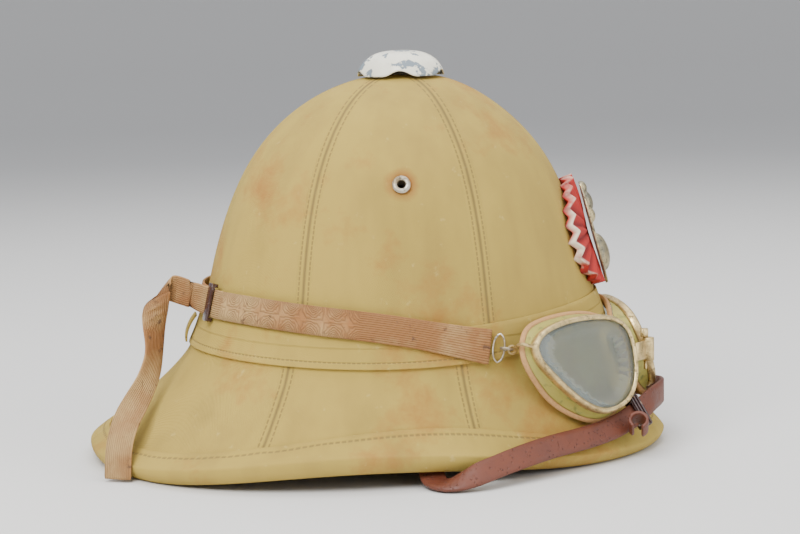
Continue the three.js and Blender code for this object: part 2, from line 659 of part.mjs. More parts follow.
// From a stud inside the right wall, down, out under the rim and up over the brim to the slide.
// Columns: place x, y, z, and the way the width runs x, y, z.
const CHIN_RIGHT = [
  [37.5, -80, 64, 1, 0, 0],
  [37, -85.5, 48, 1, 0, 0],
  [34, -97, 27, 1, 0, 0],
  [31, -109.5, 9.5, 0.98, 0.1, 0],
  [33, -121, 3.6, 0.93, 0.35, 0.05],
  [42, -129, 4.6, 0.45, 0.75, 0.45],
  [55, -127, 8.5, -0.05, 0.6, 0.8],
  [72, -115.5, 12.5, -0.1, 0.58, 0.8],
  [92, -99.5, 15.5, -0.1, 0.58, 0.8],
  [113, -81, 16.8, -0.1, 0.58, 0.8],
  [129, -64.5, 19, -0.15, 0.5, 0.85],
  [139.5, -53.2, 22.8, -0.2, 0.4, 0.9],
];
// From the slide, across the front, down over the left of the brim and in to the other stud.
const CHIN_LEFT = [
  [142.4, -50, 24.3, -0.2, 0.37, 0.91],
  [149.5, -39.5, 28, -0.1, 0.1, 1],
  [155.5, -25, 29, 0, 0, 1],
  [158.6, -6, 27.5, 0, 0, 1],
  [157.5, 16, 25, 0, 0, 1],
  [150.5, 39, 22, -0.1, -0.3, 0.95],
  [138, 60, 20, -0.1, -0.5, 0.85],
  [119, 80, 18.5, -0.1, -0.58, 0.8],
  [95, 100, 15.5, -0.1, -0.58, 0.8],
  [72, 117.5, 12.5, -0.1, -0.58, 0.8],
  [55, 128.5, 8.5, -0.05, -0.6, 0.8],
  [42, 130, 4.6, 0.45, -0.75, 0.45],
  [33, 121, 3.6, 0.93, -0.35, 0.05],
  [31, 109.5, 9.5, 0.98, -0.1, 0],
  [34, 97, 27, 1, 0, 0],
  [37, 85.5, 48, 1, 0, 0],
  [37.5, 80, 64, 1, 0, 0],
];
add('chin_strap_right', ribbon(stationsThrough(CHIN_RIGHT, LEATHER_WIDTH, 44), LEATHER_THICK), LEATHER);
add('chin_strap_left', ribbon(stationsThrough(CHIN_LEFT, LEATHER_WIDTH, 64), LEATHER_THICK), LEATHER);

// The strap's own end, curled over beside the slide.
const CURL = { x: 139.9, y: -66.9, z: 20, radius: 4.6, width: 10 };
const curlAxis = vec(-0.05, -0.72, 0.7).normalize();
const curlStart = vec(0.64, 0.5, 0.55).cross(curlAxis).normalize();
const curlSide = curlAxis.clone().cross(curlStart);
const curlTurns = [];
for (let i = 0; i <= 14; i += 1) {
  const a = rad(-30 + 300 * i / 14);
  curlTurns.push({
    at: vec(CURL.x, CURL.y, CURL.z).addScaledVector(curlStart, CURL.radius * Math.cos(a))
      .addScaledVector(curlSide, CURL.radius * Math.sin(a)),
    side: curlAxis,
    half: CURL.width / 2,
  });
}
add('chin_strap_end', ribbon(curlTurns, 1.6), LEATHER);

// The slide: a ridged frame that both straps run into.
function chinSlide() {
  const middle = vec(140.8, -51.7, 23.6);
  const along = vec(0.66, 0.7, 0.27).normalize();
  const out = along.clone().cross(vec(-0.2, 0.37, 0.91)).normalize();
  const tall = out.clone().cross(along).normalize();
  const place = new THREE.Matrix4().makeBasis(along, tall, out).setPosition(middle);
  const bar = (x, y, z, w, h, d) => cleaned(new THREE.BoxGeometry(w, h, d)).translate(x, y, z);
  const half = LEATHER_WIDTH / 2 + 0.6;
  const deep = LEATHER_THICK / 2 + 0.7;
  const parts = [
    bar(0, 0, deep + 0.6, 6, 2 * half + 4, 1.2), bar(0, 0, -deep - 0.6, 6, 2 * half + 4, 1.2),
    bar(0, half + 1, 0, 6, 2, 2 * deep + 1), bar(0, -half - 1, 0, 6, 2, 2 * deep + 1),
  ];
  for (const x of [-2, 0, 2]) parts.push(bar(x, 0, deep + 1.5, 1.2, 2 * half + 3, 1.2));
  return joined(parts).applyMatrix4(place);
}
add('chin_strap_slide', chinSlide(), TARNISH);

// Hidden studs that hold the strap's ends to the inside of the wall.
const POST_LENGTH = 4;
for (const [side, hand] of [['right', -1], ['left', 1]]) {
  const turn = hand * rad(77.5);
  const out = outAt(8.62, turn);
  const foot = skin(8.62, turn, coreTop - WALL - 2 * GAP - POST_LENGTH / 2);
  const stud = cleaned(new THREE.CylinderGeometry(3, 3, POST_LENGTH, 12).rotateX(Math.PI / 2));
  add(`chin_strap_post_${side}`, aimed(stud, foot, out), NICKEL);
}

export default group;
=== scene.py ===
"""The looks of a cloth-covered pith helmet with strapped goggles, a cockade and a chin strap."""
import sys
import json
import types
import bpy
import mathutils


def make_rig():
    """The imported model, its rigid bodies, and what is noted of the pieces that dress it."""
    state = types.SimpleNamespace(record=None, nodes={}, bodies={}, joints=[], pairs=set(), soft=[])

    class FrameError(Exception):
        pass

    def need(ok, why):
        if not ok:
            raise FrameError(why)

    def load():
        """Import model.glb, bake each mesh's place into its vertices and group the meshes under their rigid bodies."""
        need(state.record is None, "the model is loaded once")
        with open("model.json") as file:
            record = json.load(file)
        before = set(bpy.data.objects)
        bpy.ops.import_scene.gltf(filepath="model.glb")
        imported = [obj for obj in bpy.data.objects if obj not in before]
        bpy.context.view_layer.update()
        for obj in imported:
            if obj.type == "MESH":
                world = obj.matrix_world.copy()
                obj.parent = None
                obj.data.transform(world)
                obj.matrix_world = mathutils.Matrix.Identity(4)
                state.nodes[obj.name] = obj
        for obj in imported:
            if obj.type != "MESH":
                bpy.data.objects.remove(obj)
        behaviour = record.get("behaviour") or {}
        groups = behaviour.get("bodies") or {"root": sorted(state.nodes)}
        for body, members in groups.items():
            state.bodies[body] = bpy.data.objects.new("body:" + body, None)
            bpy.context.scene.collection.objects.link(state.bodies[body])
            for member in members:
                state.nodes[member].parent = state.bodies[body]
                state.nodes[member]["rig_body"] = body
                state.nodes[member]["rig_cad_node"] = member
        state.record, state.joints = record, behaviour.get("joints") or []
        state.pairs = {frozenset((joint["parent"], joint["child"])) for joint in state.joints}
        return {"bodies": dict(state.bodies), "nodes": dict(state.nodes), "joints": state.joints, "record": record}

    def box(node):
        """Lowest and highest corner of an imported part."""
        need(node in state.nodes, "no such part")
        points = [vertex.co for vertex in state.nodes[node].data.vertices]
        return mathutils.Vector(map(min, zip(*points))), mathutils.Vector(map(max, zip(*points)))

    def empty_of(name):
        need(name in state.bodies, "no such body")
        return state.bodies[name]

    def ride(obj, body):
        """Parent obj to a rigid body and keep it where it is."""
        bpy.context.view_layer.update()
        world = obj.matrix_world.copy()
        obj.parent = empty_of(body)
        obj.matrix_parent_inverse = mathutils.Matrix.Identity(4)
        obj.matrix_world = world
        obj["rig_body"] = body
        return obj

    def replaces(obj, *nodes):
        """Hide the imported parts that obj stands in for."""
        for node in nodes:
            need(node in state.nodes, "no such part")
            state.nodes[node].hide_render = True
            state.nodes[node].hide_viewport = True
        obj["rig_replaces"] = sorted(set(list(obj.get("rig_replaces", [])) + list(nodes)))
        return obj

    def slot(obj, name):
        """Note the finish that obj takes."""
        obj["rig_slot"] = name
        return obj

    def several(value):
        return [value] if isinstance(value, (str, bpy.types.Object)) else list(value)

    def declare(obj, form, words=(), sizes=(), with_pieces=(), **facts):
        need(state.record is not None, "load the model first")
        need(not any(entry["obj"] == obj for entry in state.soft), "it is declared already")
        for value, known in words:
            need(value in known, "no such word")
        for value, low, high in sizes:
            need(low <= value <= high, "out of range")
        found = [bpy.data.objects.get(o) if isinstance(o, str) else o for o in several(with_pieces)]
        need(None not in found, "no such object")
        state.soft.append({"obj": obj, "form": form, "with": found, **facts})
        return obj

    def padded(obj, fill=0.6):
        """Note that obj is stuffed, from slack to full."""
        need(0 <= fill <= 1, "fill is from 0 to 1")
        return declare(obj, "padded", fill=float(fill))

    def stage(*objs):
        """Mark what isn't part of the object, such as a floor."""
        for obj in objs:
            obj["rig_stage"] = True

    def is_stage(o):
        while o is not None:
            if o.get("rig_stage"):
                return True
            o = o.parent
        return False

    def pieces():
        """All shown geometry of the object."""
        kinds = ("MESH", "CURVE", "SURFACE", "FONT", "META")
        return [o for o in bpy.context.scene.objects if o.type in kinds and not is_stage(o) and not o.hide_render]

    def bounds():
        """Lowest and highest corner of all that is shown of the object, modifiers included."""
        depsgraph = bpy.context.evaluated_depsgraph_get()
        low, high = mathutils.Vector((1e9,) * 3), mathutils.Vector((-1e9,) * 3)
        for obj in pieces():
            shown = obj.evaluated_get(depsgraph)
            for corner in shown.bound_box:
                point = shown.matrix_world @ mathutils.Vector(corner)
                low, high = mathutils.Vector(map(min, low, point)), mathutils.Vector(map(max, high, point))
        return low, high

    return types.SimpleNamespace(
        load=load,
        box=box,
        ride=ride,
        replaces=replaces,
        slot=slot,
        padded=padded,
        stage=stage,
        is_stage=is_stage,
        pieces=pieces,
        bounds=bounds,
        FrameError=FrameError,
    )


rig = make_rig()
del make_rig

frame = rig.load()

import json
import math

import bmesh
import bpy
from mathutils import Matrix, Vector

bl_info = {
    "name": "Pith helmet",
    "version": (1, 0, 0),
    "blender": (4, 5, 0),
    "location": "3D View > Sidebar > Helmet",
    "description": "Finishes the pieces of a pith helmet and sets its stage",
    "category": "Object",
}

MM = 0.001
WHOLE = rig.bounds()
ELASTIC_WIDTH = 15 * MM

# Which nodes share a finish: finish, record slot, subdivision levels, nodes.
FINISHES = {
    "cover": ("cover_cloth", 2, ["crown_cover"]),
    "brim": ("cover_cloth", 2, ["brim_cover"]),
    "band": ("cover_cloth", 2, ["puggaree", "rear_tab"]),
    "binding": ("cover_cloth", 2, ["rim_binding"]),
    "pith": ("pith", 2, ["helmet_body"]),
    "enamel": ("cap_paint", 2, ["vent_cap"]),
    "nickel": ("nickel", 2, [
        "vent_collar", "side_vent_right", "side_vent_left", "strap_loop_right", "strap_loop_left",
        "strap_ring_right", "strap_ring_left", "chin_strap_post_right", "chin_strap_post_left",
    ]),
    "ribbon": ("red_ribbon", 0, ["cockade"]),
    "badge": ("tarnished_metal", 1, ["badge"]),
    "gilt": ("gilt_wire", 1, ["goggle_frame_right", "goggle_frame_left", "goggle_bridge"]),
    "glass": ("tinted_glass", 1, ["goggle_lens_right", "goggle_lens_left"]),
    "rubber": ("cup_rubber", 2, ["goggle_cup_right", "goggle_cup_left"]),
    "felt": ("cushion_felt", 2, ["goggle_cushion_right", "goggle_cushion_left"]),
    "elastic": ("elastic_web", 2, ["goggle_strap_right", "goggle_strap_left"]),
    "lacquer": ("slider_metal", 2, ["strap_slider", "chin_strap_slide"]),
    "leather": ("strap_leather", 2, ["chin_strap_right", "chin_strap_left", "chin_strap_end"]),
}


class Paint:
    """A short way to write a node material. Each method adds one node and gives its output."""

    def __init__(self, name):
        self.material = bpy.data.materials.new(name)
        self.material.use_nodes = True
        self.tree = self.material.node_tree
        self.shader = self.tree.nodes["Principled BSDF"]
        self.place = self.add("ShaderNodeTexCoord").outputs["Object"]
        parts = self.add("ShaderNodeSeparateXYZ", {0: self.place})
        self.x, self.y, self.z = parts.outputs

    def add(self, kind, values=None, **settings):
        node = self.tree.nodes.new(kind)
        for key, value in settings.items():
            setattr(node, key, value)
        for key, value in (values or {}).items():
            if isinstance(value, bpy.types.NodeSocket):
                self.tree.links.new(value, node.inputs[key])
            else:
                node.inputs[key].default_value = value
        return node

    def maths(self, operation, a, b=0.0, c=0.0):
        return self.add("ShaderNodeMath", {0: a, 1: b, 2: c}, operation=operation).outputs[0]

    def noise(self, scale, detail=4.0, stretch=(1, 1, 1), rough=0.6):
        place = self.add("ShaderNodeMapping", {"Vector": self.place, "Scale": stretch}).outputs[0]
        values = {"Vector": place, "Scale": scale, "Detail": detail, "Roughness": rough}
        return self.add("ShaderNodeTexNoise", values).outputs[0]

    def pits(self, scale):
        return self.add("ShaderNodeTexVoronoi", {"Vector": self.place, "Scale": scale}).outputs["Distance"]

    def between(self, value, low, high, start=0.0, end=1.0):
        return self.add("ShaderNodeMapRange", {0: value, 1: low, 2: high, 3: start, 4: end}).outputs[0]

    def mix(self, share, a, b):
        node = self.add("ShaderNodeMix", data_type="RGBA")
        for index, value in ((0, share), (6, a), (7, b)):
            if isinstance(value, bpy.types.NodeSocket):
                self.tree.links.new(value, node.inputs[index])
            else:
                node.inputs[index].default_value = value if index == 0 else (*value, 1)
        return node.outputs[2]

    def attribute(self, name):
        return self.add("ShaderNodeAttribute", attribute_name=name).outputs["Fac"]

    def finish(self, colour, roughness, height=None, depth=0.0002, **plain):
        for key, value in (("Base Color", colour), ("Roughness", roughness)):
            if isinstance(value, bpy.types.NodeSocket):
                self.tree.links.new(value, self.shader.inputs[key])
            else:
                self.shader.inputs[key].default_value = (*value, 1) if key == "Base Color" else value
        for key, value in plain.items():
            self.shader.inputs[key.replace("_", " ")].default_value = value
        if height is not None:
            bump = self.add("ShaderNodeBump", {"Height": height, "Distance": depth, "Strength": 1.0})
            self.tree.links.new(bump.outputs[0], self.shader.inputs["Normal"])
        return self.material


# ---------------------------------------------------------------- shared effects

def weave(paint, pitch=0.00055):
    """A plain weave round the upright axis: threads along the height crossed by threads round it."""
    turn = 2 * math.pi / pitch
    across = paint.maths("ADD", paint.x, paint.maths("MULTIPLY", paint.y, 0.9))
    up = paint.maths("SINE", paint.maths("MULTIPLY", paint.z, turn))
    round_ = paint.maths("SINE", paint.maths("MULTIPLY", across, turn))
    return paint.maths("MULTIPLY", up, round_)


def angle_and_radius(paint, centre):
    ahead = paint.maths("SUBTRACT", paint.x, centre)
    angle = paint.maths("ARCTAN2", paint.y, ahead)
    square = paint.maths("ADD", paint.maths("POWER", ahead, 2.0), paint.maths("POWER", paint.y, 2.0))
    return angle, paint.maths("SQRT", square)


def stitches(paint, distance, offset, along, pitch=0.0026):
    """A row of stitches at an offset from a seam: 1 on the thread."""
    off = paint.maths("ABSOLUTE", paint.maths("SUBTRACT", distance, offset))
    line = paint.between(off, 0.0002, 0.0006, 1.0, 0.0)
    dash = paint.maths("FRACT", paint.maths("DIVIDE", along, pitch))
    return paint.maths("MULTIPLY", line, paint.between(dash, 0.22, 0.34))


def stained_cloth(paint, seam_distance, thread):
    """The drill cloth: uneven khaki, brown stains, faint streaks down the crown, dark seams."""
    base = paint.mix(paint.noise(9, 5), CLOTH_DARK, CLOTH_LIGHT)
    streak = paint.between(paint.noise(30, 3, (1, 1, 0.12)), 0.45, 0.75)
    base = paint.mix(paint.maths("MULTIPLY", streak, 0.5), base, CLOTH_SHADE)
    blot = paint.between(paint.noise(13, 6, rough=0.68), 0.54, 0.68)
    base = paint.mix(paint.maths("MULTIPLY", blot, 0.75), base, CLOTH_STAIN)
    fleck = paint.between(paint.noise(160, 3), 0.66, 0.76)
    base = paint.mix(paint.maths("MULTIPLY", fleck, 0.35), base, CLOTH_PALE)
    if seam_distance is not None:
        groove = paint.between(seam_distance, 0.0003, 0.0012, 0.7, 0.0)
        base = paint.mix(groove, base, CLOTH_SEAM)
        base = paint.mix(paint.maths("MULTIPLY", thread, 0.6), base, CLOTH_SEAM)
    return base


CLOTH_LIGHT = (0.60, 0.43, 0.085)
CLOTH_DARK = (0.44, 0.30, 0.055)
CLOTH_SHADE = (0.30, 0.20, 0.045)
CLOTH_STAIN = (0.42, 0.17, 0.025)
CLOTH_PALE = (0.72, 0.58, 0.22)
CLOTH_SEAM = (0.16, 0.11, 0.04)
RUST = (0.36, 0.11, 0.02)


def cloth_material(name, seams=None, centre=0.0, spacing=None, rusted=None):
    """seams are angles from the front; spacing repeats a seam all round instead."""
    paint = Paint(name)
    height = paint.maths("MULTIPLY", weave(paint), 0.35)
    height = paint.maths("ADD", height, paint.maths("MULTIPLY", paint.noise(40, 5), 1.6))
    distance, thread = None, None
    if seams or spacing:
        angle, radius = angle_and_radius(paint, centre)
        if spacing:
            share = paint.maths("ADD", paint.maths("DIVIDE", angle, spacing), 0.5)
            part = paint.maths("ABSOLUTE", paint.maths("SUBTRACT", paint.maths("FRACT", share), 0.5))
            away = paint.maths("MULTIPLY", part, spacing)
        else:
            side = paint.maths("ABSOLUTE", angle)
            gaps = [paint.maths("ABSOLUTE", paint.maths("SUBTRACT", side, s)) for s in seams]
            away = paint.maths("MINIMUM", *gaps)
        distance = paint.maths("MULTIPLY", away, radius)
        thread = stitches(paint, distance, 0.0028, paint.z)
        groove = paint.between(distance, 0.0, 0.0016, -2.2, 0.0)
        welt = paint.between(distance, 0.0036, 0.0046, 1.1, 0.0)
        height = paint.maths("ADD", height, paint.maths("ADD", groove, welt))
        height = paint.maths("SUBTRACT", height, thread)
    colour = stained_cloth(paint, distance, thread)
    if rusted is not None:
        away = paint.add("ShaderNodeVectorMath", {0: paint.place, 1: rusted}, operation="DISTANCE").outputs["Value"]
        halo = paint.between(paint.maths("ADD", away, paint.maths("MULTIPLY", paint.noise(120), 0.006)), 0.007, 0.013, 0.85, 0)
        colour = paint.mix(halo, colour, RUST)
    return paint.finish(colour, 0.9, height, 0.00035)


def band_material(name, rows, creases):
    """Cloth with stitch rows and creases at shares of its height."""
    paint = Paint(name)
    across = paint.attribute("across")
    angle, _ = angle_and_radius(paint, 0.0)
    along = paint.maths("MULTIPLY", angle, 0.1)
    height = paint.maths("MULTIPLY", paint.noise(45, 5), 1.4)
    height = paint.maths("ADD", height, paint.maths("MULTIPLY", weave(paint), 0.35))
    colour = stained_cloth(paint, None, None)
    for row in rows:
        off = paint.maths("ABSOLUTE", paint.maths("SUBTRACT", across, row))
        line = paint.between(off, 0.012, 0.04, 1.0, 0.0)
        dash = paint.between(paint.maths("FRACT", paint.maths("DIVIDE", along, 0.0026)), 0.25, 0.4)
        thread = paint.maths("MULTIPLY", line, dash)
        colour = paint.mix(paint.maths("MULTIPLY", thread, 0.6), colour, CLOTH_SEAM)
        height = paint.maths("SUBTRACT", height, paint.maths("MULTIPLY", line, 1.2))
    for row in creases:
        off = paint.maths("SUBTRACT", across, row)
        height = paint.maths("ADD", height, paint.between(off, -0.04, 0.02, 0.0, 2.2))
    return paint.finish(colour, 0.9, height, 0.00035)


# ---------------------------------------------------------------- materials

def cover():
    low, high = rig.box("side_vent_right")
    return cloth_material("cover_cloth_crown", spacing=math.pi / 3, centre=15 * MM, rusted=(low + high) / 2)


def brim():
    return cloth_material("cover_cloth_brim", seams=(math.radians(62.5), math.radians(115)))


def band():
    return band_material("cover_cloth_band", rows=(0.16,), creases=(0.55,))


def binding():
    return band_material("cover_cloth_binding", rows=(0.86,), creases=())


def pith():
    paint = Paint("pith")
    grain = paint.pits(260)
    colour = paint.mix(grain, (0.30, 0.20, 0.11), (0.50, 0.38, 0.23))
    return paint.finish(colour, 0.95, paint.maths("ADD", grain, paint.noise(90)), 0.0006)


def enamel():
    """Cream paint, chipped to blue-grey metal in patches, with a few dark scuffs."""
    paint = Paint("cap_enamel")
    chip = paint.between(paint.noise(75, 5, rough=0.62), 0.575, 0.595)
    scuff = paint.between(paint.noise(210, 4), 0.64, 0.74)
    colour = paint.mix(paint.noise(40), (0.74, 0.70, 0.54), (0.86, 0.84, 0.74))
    colour = paint.mix(paint.maths("MULTIPLY", scuff, 0.5), colour, (0.30, 0.26, 0.18))
    colour = paint.mix(chip, colour, (0.20, 0.24, 0.27))
    height = paint.maths("SUBTRACT", paint.maths("MULTIPLY", paint.noise(60), 0.3), chip)
    return paint.finish(colour, paint.between(chip, 0, 1, 0.32, 0.5), height, 0.0002)


def worn_metal(name, bright, dull, dark, rough=(0.28, 0.6)):
    """Plated metal gone dull, with dark tarnish in the pits and a bright rubbed surface."""
    paint = Paint(name)
    worn = paint.noise(140, 6, rough=0.7)
    pit = paint.between(paint.noise(420, 4), 0.56, 0.68)
    colour = paint.mix(paint.between(worn, 0.35, 0.65), bright, dull)
    colour = paint.mix(paint.maths("MULTIPLY", pit, 0.75), colour, dark)
    height = paint.maths("SUBTRACT", worn, pit)
    return paint.finish(colour, paint.between(worn, 0.3, 0.7, *rough), height, 0.0003, Metallic=0.9)


def nickel():
    return worn_metal("nickel", (0.62, 0.58, 0.48), (0.32, 0.25, 0.15), (0.08, 0.06, 0.04))


def badge():
    return worn_metal("tarnished_metal", (0.62, 0.50, 0.26), (0.22, 0.21, 0.16), (0.05, 0.05, 0.04))


def gilt():
    return worn_metal("gilt_wire", (0.85, 0.66, 0.32), (0.45, 0.33, 0.15), (0.10, 0.07, 0.03))


def ribbon():
    """Red pleated ribbon with painted shade in the valleys of its pleats, and a worn pale edge."""
    paint = Paint("red_ribbon")
    edge, pleat = paint.attribute("edge"), paint.attribute("pleat")
    colour = paint.mix(paint.noise(70), (0.30, 0.010, 0.008), (0.50, 0.022, 0.014))
    # painted shade: the ribbon darkens towards the valleys of the pleats, where shade falls
    colour = paint.mix(paint.between(pleat, 0.55, 0.0, 0.0, 0.7), colour, (0.10, 0.01, 0.012))
    pale = paint.maths("MULTIPLY", paint.between(edge, 0.93, 0.97), paint.between(paint.noise(60), 0.4, 0.55))
    colour = paint.mix(pale, colour, (0.72, 0.60, 0.46))
    return paint.finish(colour, 0.75, paint.noise(500), 0.0002)


def glass():
    paint = Paint("tinted_glass")
    smear = paint.between(paint.noise(55, 5), 0.5, 0.8, 0.03, 0.22)
    colour = paint.mix(paint.noise(30), (0.62, 0.72, 0.72), (0.76, 0.80, 0.70))
    return paint.finish(colour, smear, None, Transmission_Weight=0.88, IOR=1.5)


def rubber():
    paint = Paint("cup_rubber")
    crack = paint.between(paint.noise(230, 5), 0.55, 0.66)
    colour = paint.mix(paint.noise(60), (0.30, 0.27, 0.045), (0.44, 0.37, 0.09))
    colour = paint.mix(paint.maths("MULTIPLY", crack, 0.6), colour, (0.14, 0.17, 0.05))
    return paint.finish(colour, 0.6, crack, 0.0003)


def felt():
    paint = Paint("cushion_felt")
    fuzz = paint.noise(520, 6, rough=0.75)
    colour = paint.mix(fuzz, (0.36, 0.16, 0.05), (0.66, 0.40, 0.17))
    return paint.finish(colour, 1.0, fuzz, 0.0008)


def elastic():
    """Ribbed web: lengthwise ribs, tan cloth, a rust-brown stretch and dark spots."""
    paint = Paint("elastic_web")
    rib = paint.maths("SINE", paint.maths("MULTIPLY", paint.attribute("across"), 2 * math.pi * 13))
    colour = paint.mix(paint.noise(35), (0.40, 0.24, 0.085), (0.56, 0.37, 0.16))
    rust = paint.between(paint.noise(17, 5), 0.42, 0.56)
    colour = paint.mix(paint.maths("MULTIPLY", rust, 0.75), colour, (0.25, 0.075, 0.014))
    spot = paint.between(paint.noise(190, 4), 0.62, 0.70)
    colour = paint.mix(paint.maths("MULTIPLY", spot, 0.8), colour, (0.08, 0.04, 0.025))
    colour = paint.mix(paint.between(rib, -1, -0.2, 0.45, 0.0), colour, (0.10, 0.05, 0.02))
    height = paint.maths("ADD", paint.maths("MULTIPLY", rib, 0.5), paint.noise(300))
    return paint.finish(colour, 0.9, height, 0.0004)


def lacquer():
    paint = Paint("brown_lacquer")
    worn = paint.between(paint.noise(160, 5), 0.60, 0.68)
    colour = paint.mix(worn, (0.045, 0.018, 0.016), (0.30, 0.20, 0.12))
    return paint.finish(colour, paint.between(worn, 0, 1, 0.2, 0.55), paint.noise(120), 0.0003, Coat_Weight=0.5)


def leather():
    """Red-brown strap leather, pitted, cracked across and paler in worn patches."""
    paint = Paint("strap_leather")
    pit = paint.pits(420)
    worn = paint.noise(70, 6, rough=0.7)
    colour = paint.mix(worn, (0.055, 0.012, 0.006), (0.19, 0.05, 0.022))
    colour = paint.mix(paint.between(pit, 0.22, 0.05, 0.0, 0.7), colour, (0.04, 0.014, 0.01))
    height = paint.maths("ADD", paint.between(pit, 0.0, 0.3), paint.maths("MULTIPLY", worn, 0.8))
    return paint.finish(colour, paint.between(worn, 0.3, 0.7, 0.42, 0.7), height, 0.0005)


# ---------------------------------------------------------------- shapes

def fine_mesh(node):
    """The node's shape as quads with its sharp edges creased, ready for subdivision."""
    shape = bmesh.new()
    shape.from_mesh(frame["nodes"][node].data)
    bmesh.ops.remove_doubles(shape, verts=shape.verts, dist=0.01 * MM)
    bmesh.ops.join_triangles(
        shape, faces=shape.faces, angle_face_threshold=math.radians(30), angle_shape_threshold=math.radians(60),
    )
    crease = shape.edges.layers.float.get("crease_edge") or shape.edges.layers.float.new("crease_edge")
    for edge in shape.edges:
        if len(edge.link_faces) == 2 and edge.calc_face_angle(0) > math.radians(50):
            edge[crease] = 0.75
    for face in shape.faces:
        face.smooth = True
    return shape


def mark_across(shape):
    """Stores each point's share of the height at its own station round the hat, for rows of stitches."""
    layer = shape.verts.layers.float.new("across")
    stations = 36
    middle = (WHOLE[0] + WHOLE[1]) / 2
    reach = (WHOLE[1] - WHOLE[0]) / 2

    def station(point):
        away = point.co - middle
        return round(math.atan2(away.y / reach.y, away.x / reach.x) * stations / (2 * math.pi)) % stations

    span = {}
    for point in shape.verts:
        low, high = span.get(station(point), (1.0, -1.0))
        span[station(point)] = (min(low, point.co.z), max(high, point.co.z))
    for point in shape.verts:
        low, high = span[station(point)]
        point[layer] = (point.co.z - low) / max(high - low, MM)


def mark_edges(shape, width):
    """Stores 0 along one edge of a ribbon and 1 along the other, for its ribs."""
    layer = shape.verts.layers.float.new("across")
    found = {}
    for start in shape.verts:
        if start in found:
            continue
        found[start] = 0.0
        waiting = [start]
        while waiting:
            point = waiting.pop()
            for edge in point.link_edges:
                other = edge.other_vert(point)
                if other not in found:
                    crosses = edge.calc_length() > 0.8 * width
                    found[other] = 1 - found[point] if crosses else found[point]
                    waiting.append(other)
    for point, share in found.items():
        point[layer] = share


def pleat(shape, pleats, swing):
    """Folds a disc into pleats that deepen towards its rim, and stores edge and pleat shares."""
    for _ in range(3):
        bmesh.ops.subdivide_edges(shape, edges=shape.edges[:], cuts=1, use_grid_fill=True)
    shape.normal_update()
    middle = sum((v.co for v in shape.verts), Vector()) / len(shape.verts)
    ahead = Vector()
    for face in shape.faces:
        if face.normal.x > 0.3:
            ahead += face.normal * face.calc_area()
    ahead.normalize()
    side = Vector((0, 1, 0))
    up = ahead.cross(side).normalized()
    reach = max((v.co - middle).dot(side) for v in shape.verts)
    edge = shape.verts.layers.float.new("edge")
    fold = shape.verts.layers.float.new("pleat")
    for point in shape.verts:
        away = point.co - middle
        a, b = away.dot(side), away.dot(up)
        share = min(1.0, math.hypot(a, b) / reach)
        phase = math.atan2(b, a) * pleats / (2 * math.pi)
        wave = 1 - 4 * abs((phase % 1) - 0.5)
        wobble = 0.3 * math.sin(3 * phase + 1.7)
        point[edge] = share
        point[fold] = 0.5 + 0.5 * wave
        point.co += ahead * (swing * share * (wave + wobble))


def finished(node, slot, levels, material):
    """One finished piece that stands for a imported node."""
    shape = fine_mesh(node)
    if node == "cockade":
        settings = bpy.context.scene.helmet
        pleat(shape, settings.pleats, settings.pleat_depth)
    elif node in ("puggaree", "rear_tab", "rim_binding"):
        mark_across(shape)
    elif node.startswith("goggle_strap"):
        mark_edges(shape, ELASTIC_WIDTH)
    data = bpy.data.meshes.new(node + "_finish")
    shape.to_mesh(data)
    shape.free()
    piece = bpy.data.objects.new(node + "_finish", data)
    bpy.context.scene.collection.objects.link(piece)
    data.materials.append(material)
    if levels:
        subdivision = piece.modifiers.new("fine", "SUBSURF")
        subdivision.levels = levels
        subdivision.render_levels = levels
    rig.ride(piece, "root")
    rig.replaces(piece, node)
    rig.slot(piece, slot)
    if "cushion" in node:
        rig.padded(piece, fill=0.5)
    return piece


def finish_group(*names):
    for name in names:
        slot, levels, nodes = FINISHES[name]
        material = globals()[name]()
        for node in nodes:
            finished(node, slot, levels, material)
    return {"FINISHED"}


# ---------------------------------------------------------------- settings and operators

class HelmetSettings(bpy.types.PropertyGroup):
    pleats: bpy.props.IntProperty(name="Pleats", description="Pleats round the cockade", default=22, min=6)
    pleat_depth: bpy.props.FloatProperty(
        name="Pleat depth", description="How far a pleat swings at the rim", default=1.8 * MM, unit="LENGTH",
    )
    backdrop: bpy.props.FloatVectorProperty(
        name="Backdrop", description="Colour of the floor", default=(0.72, 0.71, 0.69), subtype="COLOR",
    )


class HELMET_OT_shell(bpy.types.Operator):
    """Finishes the pith wall, its cloth covers, the wrapped band and the bound rim"""
    bl_idname = "helmet.shell"
    bl_label = "Shell and cloth"

    def execute(self, context):
        return finish_group("pith", "cover", "brim", "band", "binding")


class HELMET_OT_vents(bpy.types.Operator):
    """Finishes the ventilator cap and the plated fittings"""
    bl_idname = "helmet.vents"
    bl_label = "Cap and fittings"

    def execute(self, context):
        return finish_group("enamel", "nickel")


class HELMET_OT_badge(bpy.types.Operator):
    """Pleats the cockade and finishes the badge"""
    bl_idname = "helmet.badge"
    bl_label = "Cockade and badge"

    def execute(self, context):
        return finish_group("ribbon", "badge")


class HELMET_OT_goggles(bpy.types.Operator):
    """Finishes the goggles and their elastic"""
    bl_idname = "helmet.goggles"
    bl_label = "Goggles"

    def execute(self, context):
        return finish_group("gilt", "glass", "rubber", "felt", "elastic")


class HELMET_OT_straps(bpy.types.Operator):
    """Finishes the leather chin strap and the slides"""
    bl_idname = "helmet.straps"
    bl_label = "Chin strap and slides"

    def execute(self, context):
        return finish_group("lacquer", "leather")


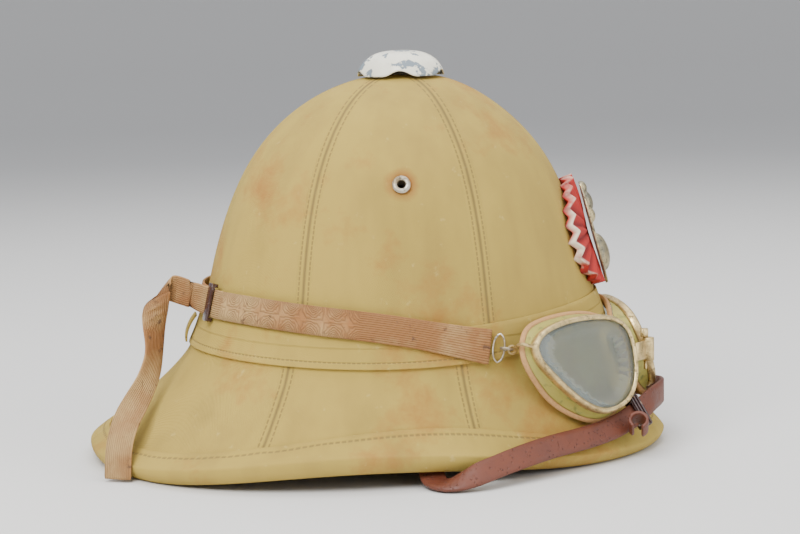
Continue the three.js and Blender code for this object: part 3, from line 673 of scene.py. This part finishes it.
# Soft lights: name, place as shares of the hat's length from its middle, size, power.
LIGHTS = [
    ("key", (-1.6, -3.4, 3.6), 1.1, 42.0),
    ("fill", (3.6, -2.2, 1.6), 1.4, 14.0),
    ("top", (0.2, 1.4, 4.2), 1.6, 22.0),
]
AIM = Vector((14.8, 0, 98.2)) * MM
DISTANCE = 1150 * MM
ELEVATION = math.radians(6.8)
AZIMUTH = math.radians(1.5)
ROLL = math.radians(-1.5)
LENS = 93.2
# The floor is a shallow dish: radius and height of each ring, in metres.
FLOOR = [(2.5, 0.0), (3.2, 0.02), (3.8, 0.12), (4.3, 0.35), (4.6, 0.7), (4.7, 1.1)]


def looking(place, target):
    return (target - place).to_track_quat("-Z", "Y").to_matrix().to_4x4()


class HELMET_OT_stage(bpy.types.Operator):
    """Adds the floor, the lights and the camera"""
    bl_idname = "helmet.stage"
    bl_label = "Stage"

    def execute(self, context):
        scene = context.scene
        floor_mesh = bpy.data.meshes.new("floor")
        shape = bmesh.new()
        bmesh.ops.create_circle(shape, cap_ends=True, radius=FLOOR[0][0], segments=96)
        edges = [edge for edge in shape.edges if edge.is_boundary]
        for (inner, _), (outer, height) in zip(FLOOR, FLOOR[1:]):
            made = bmesh.ops.extrude_edge_only(shape, edges=edges)["geom"]
            for point in (v for v in made if isinstance(v, bmesh.types.BMVert)):
                point.co = Vector((point.co.x * outer / inner, point.co.y * outer / inner, height))
            edges = [edge for edge in made if isinstance(edge, bmesh.types.BMEdge) and edge.is_boundary]
        for face in shape.faces:
            face.smooth = True
        shape.to_mesh(floor_mesh)
        shape.free()
        floor = bpy.data.objects.new("floor", floor_mesh)
        scene.collection.objects.link(floor)
        paint = Paint("floor_paper")
        floor_mesh.materials.append(paint.finish(tuple(scene.helmet.backdrop), 0.9))
        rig.stage(floor)
        world = bpy.data.worlds.new("studio")
        world.use_nodes = True
        world.node_tree.nodes["Background"].inputs[0].default_value = (0.9, 0.93, 1.0, 1)
        world.node_tree.nodes["Background"].inputs[1].default_value = 0.55
        scene.world = world
        length = (WHOLE[1] - WHOLE[0]).x
        for name, place, size, power in LIGHTS:
            data = bpy.data.lights.new(name, "AREA")
            data.size = size
            data.energy = power
            lamp = bpy.data.objects.new(name, data)
            spot = AIM + Vector(place) * length
            lamp.matrix_world = Matrix.Translation(spot) @ looking(spot, AIM)
            scene.collection.objects.link(lamp)
        back = Vector((
            math.sin(AZIMUTH) * math.cos(ELEVATION), -math.cos(AZIMUTH) * math.cos(ELEVATION), math.sin(ELEVATION),
        ))
        camera = bpy.data.objects.new("camera", bpy.data.cameras.new("camera"))
        spot = AIM + back * DISTANCE
        camera.matrix_world = Matrix.Translation(spot) @ looking(spot, AIM) @ Matrix.Rotation(ROLL, 4, "Z")
        camera.data.lens = LENS
        camera.data.sensor_width = 36
        scene.collection.objects.link(camera)
        scene.camera = camera
        return {"FINISHED"}


class HELMET_PT_panel(bpy.types.Panel):
    """Lists the settings and the steps"""
    bl_label = "Pith helmet"
    bl_idname = "HELMET_PT_panel"
    bl_space_type = "VIEW_3D"
    bl_region_type = "UI"
    bl_category = "Helmet"

    def draw(self, context):
        settings = context.scene.helmet
        for name in ("pleats", "pleat_depth", "backdrop"):
            self.layout.prop(settings, name)
        for operator in OPERATORS:
            self.layout.operator(operator.bl_idname)


OPERATORS = (
    HELMET_OT_shell, HELMET_OT_vents, HELMET_OT_badge, HELMET_OT_goggles, HELMET_OT_straps, HELMET_OT_stage,
)
CLASSES = (HelmetSettings, *OPERATORS, HELMET_PT_panel)


def register():
    for each in CLASSES:
        bpy.utils.register_class(each)
    bpy.types.Scene.helmet = bpy.props.PointerProperty(type=HelmetSettings)


def unregister():
    del bpy.types.Scene.helmet
    for each in reversed(CLASSES):
        bpy.utils.unregister_class(each)


def main():
    register()
    bpy.ops.helmet.shell()
    bpy.ops.helmet.vents()
    bpy.ops.helmet.badge()
    bpy.ops.helmet.goggles()
    bpy.ops.helmet.straps()
    bpy.ops.helmet.stage()
    sizes = {"cad": [list(corner) for corner in WHOLE], "finished": [list(corner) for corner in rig.bounds()]}
    with open("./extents.json", "w") as out:
        json.dump(sizes, out)


if __name__ == "__main__":
    main()
